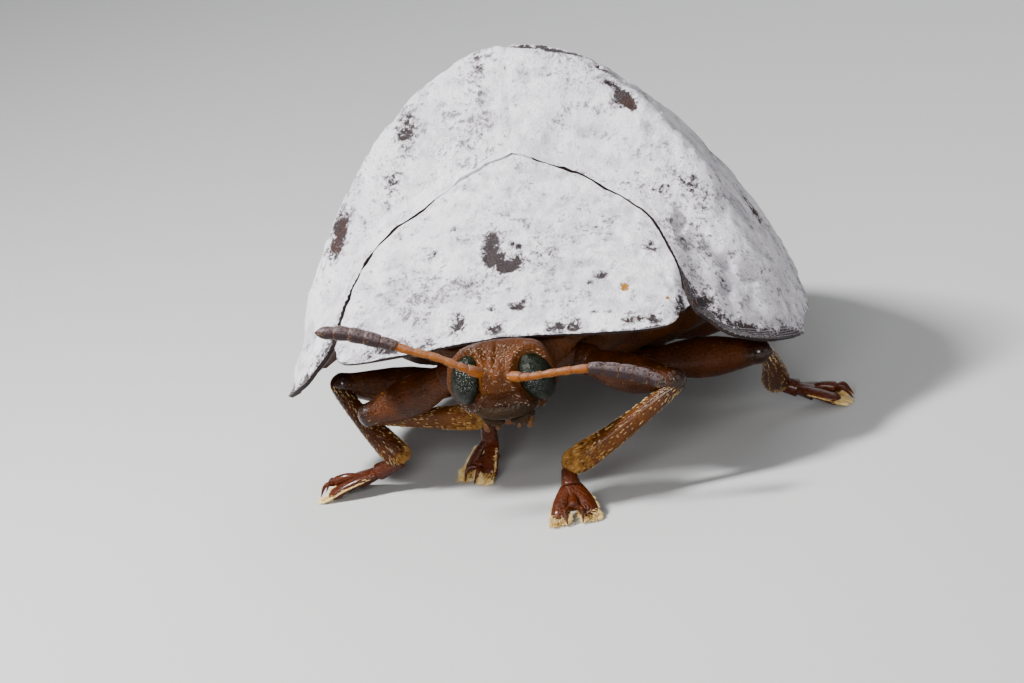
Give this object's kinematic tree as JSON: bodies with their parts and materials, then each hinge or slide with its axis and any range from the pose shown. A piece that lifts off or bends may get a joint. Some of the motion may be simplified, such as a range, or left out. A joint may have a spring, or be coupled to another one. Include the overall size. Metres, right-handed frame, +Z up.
{
  "type": "tortoise beetle",
  "caption": "Life-size still model of a high-humped tortoise beetle with a white powdery shell, standing on six short legs.",
  "frame": {"origin": "on the floor, below the middle of the model's box", "axes": "+Z up, the beetle faces -Y, +X is the beetle's left"},
  "size_m": [0.0164, 0.021, 0.012],
  "materials": {
    "powdered_shell": "matt white powder over dark brown cuticle, worn bare in small patches",
    "underside": "satin dark brown cuticle",
    "amber_cuticle": "glossy red-brown amber cuticle with pale bristles",
    "antenna": "satin orange-brown, dark purple-brown towards the tip",
    "eye": "glossy black-green, finely faceted",
    "foot_pad": "red-brown joints with cream adhesive brushes"
  },
  "bodies": {
    "root": {"pronotum": "powdered_shell", "elytron_left": "powdered_shell", "elytron_right": "powdered_shell", "prothorax": "underside", "thorax": "underside", "abdomen": "underside", "head": "amber_cuticle", "mouthparts": "amber_cuticle", "eye_left": "eye", "eye_right": "eye", "antenna_left": "antenna", "antenna_right": "antenna", "front_left_femur": "amber_cuticle", "front_left_tibia": "amber_cuticle", "front_left_tarsus": "foot_pad", "front_right_femur": "amber_cuticle", "front_right_tibia": "amber_cuticle", "front_right_tarsus": "foot_pad", "middle_left_femur": "amber_cuticle", "middle_left_tibia": "amber_cuticle", "middle_left_tarsus": "foot_pad", "middle_right_femur": "amber_cuticle", "middle_right_tibia": "amber_cuticle", "middle_right_tarsus": "foot_pad", "hind_left_femur": "amber_cuticle", "hind_left_tibia": "amber_cuticle", "hind_left_tarsus": "foot_pad", "hind_right_femur": "amber_cuticle", "hind_right_tibia": "amber_cuticle", "hind_right_tarsus": "foot_pad"}
  },
  "joints": []
}
